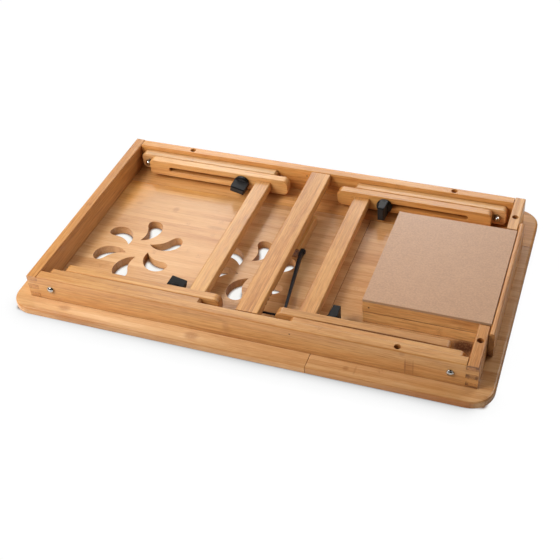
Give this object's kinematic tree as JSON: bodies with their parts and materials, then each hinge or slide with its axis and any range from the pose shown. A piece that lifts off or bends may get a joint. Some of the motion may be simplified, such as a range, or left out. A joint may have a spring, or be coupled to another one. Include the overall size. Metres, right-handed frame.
{
  "type": "folding tray table",
  "caption": "Bamboo folding tray table lying on its top, legs folded, with telescoping legs, a tilting board with petal vents, a prop stay and a side drawer.",
  "frame": {"origin": "centre of the bounding box, on the plane of the table top's outer face, which is the lowest face because the table is stored lying on its top", "axes": "+X along the table towards the drawer, +Y towards the user's side with the hinged strip, +Z out of the underside"},
  "size_m": [0.5534, 0.328, 0.042],
  "materials": {
    "bamboo": "satin lacquer",
    "hardboard": "matt",
    "black_plastic": "matt",
    "black_steel": "satin",
    "bright_steel": "polished",
    "brass": "satin"
  },
  "bodies": {
    "frame": {"front_strip": "bamboo", "fixed_top": "bamboo", "rear_rail": "bamboo", "front_rail": "bamboo", "left_rail": "bamboo", "rear_end_block": "bamboo", "front_end_block": "bamboo", "divider": "bamboo", "runner_rear": "bamboo", "runner_front": "bamboo", "top_screw_front_left": "bright_steel", "top_screw_front_right": "bright_steel", "top_screw_rear": "bright_steel", "top_screw_rear_block": "bright_steel", "top_screw_front_block": "bright_steel", "pivot_bolt_left_rear": "bright_steel", "pivot_bolt_left_front": "bright_steel", "pivot_bolt_right_rear": "bright_steel", "pivot_bolt_right_front": "bright_steel", "pivot_nut_left_rear": "bright_steel", "pivot_nut_left_front": "bright_steel", "pivot_nut_right_rear": "bright_steel", "pivot_nut_right_front": "bright_steel", "hinge_strip_leaf_left": "brass", "hinge_strip_leaf_right": "brass", "hinge_pin_left": "bright_steel", "hinge_pin_right": "bright_steel"},
    "tilting_board": {"tilting_top": "bamboo", "prop_block": "bamboo", "prop_screw": "black_steel", "hinge_board_leaf_left": "brass", "hinge_board_leaf_right": "brass"},
    "prop": {"prop_stay": "black_steel"},
    "drawer": {"drawer_bottom": "hardboard", "drawer_back": "bamboo", "drawer_front": "bamboo", "drawer_side_rear": "bamboo", "drawer_side_front": "bamboo"},
    "left_legs": {"outer_leg_left_rear": "bamboo", "outer_leg_left_front": "bamboo", "clamp_bolt_left_rear": "bright_steel", "clamp_bolt_left_front": "bright_steel"},
    "left_extension": {"inner_leg_left_rear": "bamboo", "inner_leg_left_front": "bamboo", "crossbar_left": "bamboo"},
    "left_rear_knob": {"clamp_knob_left_rear": "black_plastic"},
    "left_front_knob": {"clamp_knob_left_front": "black_plastic"},
    "right_legs": {"outer_leg_right_rear": "bamboo", "outer_leg_right_front": "bamboo", "clamp_bolt_right_rear": "bright_steel", "clamp_bolt_right_front": "bright_steel"},
    "right_extension": {"inner_leg_right_rear": "bamboo", "inner_leg_right_front": "bamboo", "crossbar_right": "bamboo"},
    "right_rear_knob": {"clamp_knob_right_rear": "black_plastic"},
    "right_front_knob": {"clamp_knob_right_front": "black_plastic"}
  },
  "joints": [
    {"name": "top_tilt", "type": "hinge", "parent": "frame", "child": "tilting_board", "pos_m": [-0.0975, 0.0945, 0.0028], "axis": [1, 0, 0], "range_deg": [0, 30]},
    {"name": "prop_swing", "type": "hinge", "parent": "tilting_board", "child": "prop", "pos_m": [0.0215, 0.0085, 0.01555], "axis": [-1, 0, 0], "range_deg": [0, 60]},
    {"name": "drawer_slide", "type": "slide", "parent": "frame", "child": "drawer", "axis": [1, 0, 0], "range_m": [0, 0.1]},
    {"name": "left_legs_fold", "type": "hinge", "parent": "frame", "child": "left_legs", "pos_m": [-0.22775, 0.0005, 0.02565], "axis": [0, -1, 0], "range_deg": [0, 105]},
    {"name": "left_legs_extend", "type": "slide", "parent": "left_legs", "child": "left_extension", "axis": [1, 0, 0], "range_m": [0, 0.091]},
    {"name": "left_rear_knob_turn", "type": "hinge", "parent": "left_legs", "child": "left_rear_knob", "pos_m": [-0.09225, -0.1095, 0.02565], "axis": [0, -1, 0], "continuous": true},
    {"name": "left_front_knob_turn", "type": "hinge", "parent": "left_legs", "child": "left_front_knob", "pos_m": [-0.09225, 0.1105, 0.02565], "axis": [0, 1, 0], "continuous": true},
    {"name": "right_legs_fold", "type": "hinge", "parent": "frame", "child": "right_legs", "pos_m": [0.23025, 0.0005, 0.02565], "axis": [0, 1, 0], "range_deg": [0, 105]},
    {"name": "right_legs_extend", "type": "slide", "parent": "right_legs", "child": "right_extension", "axis": [-1, 0, 0], "range_m": [0, 0.091]},
    {"name": "right_rear_knob_turn", "type": "hinge", "parent": "right_legs", "child": "right_rear_knob", "pos_m": [0.09475, -0.1095, 0.02565], "axis": [0, -1, 0], "continuous": true},
    {"name": "right_front_knob_turn", "type": "hinge", "parent": "right_legs", "child": "right_front_knob", "pos_m": [0.09475, 0.1105, 0.02565], "axis": [0, 1, 0], "continuous": true}
  ],
  "couplings": [
    {"joint": "prop_swing", "follows": "top_tilt", "ratio": 1.96},
    {"joint": "left_legs_extend", "follows": "left_legs_fold", "m_per_rad": 0.0491},
    {"joint": "right_legs_extend", "follows": "right_legs_fold", "m_per_rad": 0.0491}
  ]
}
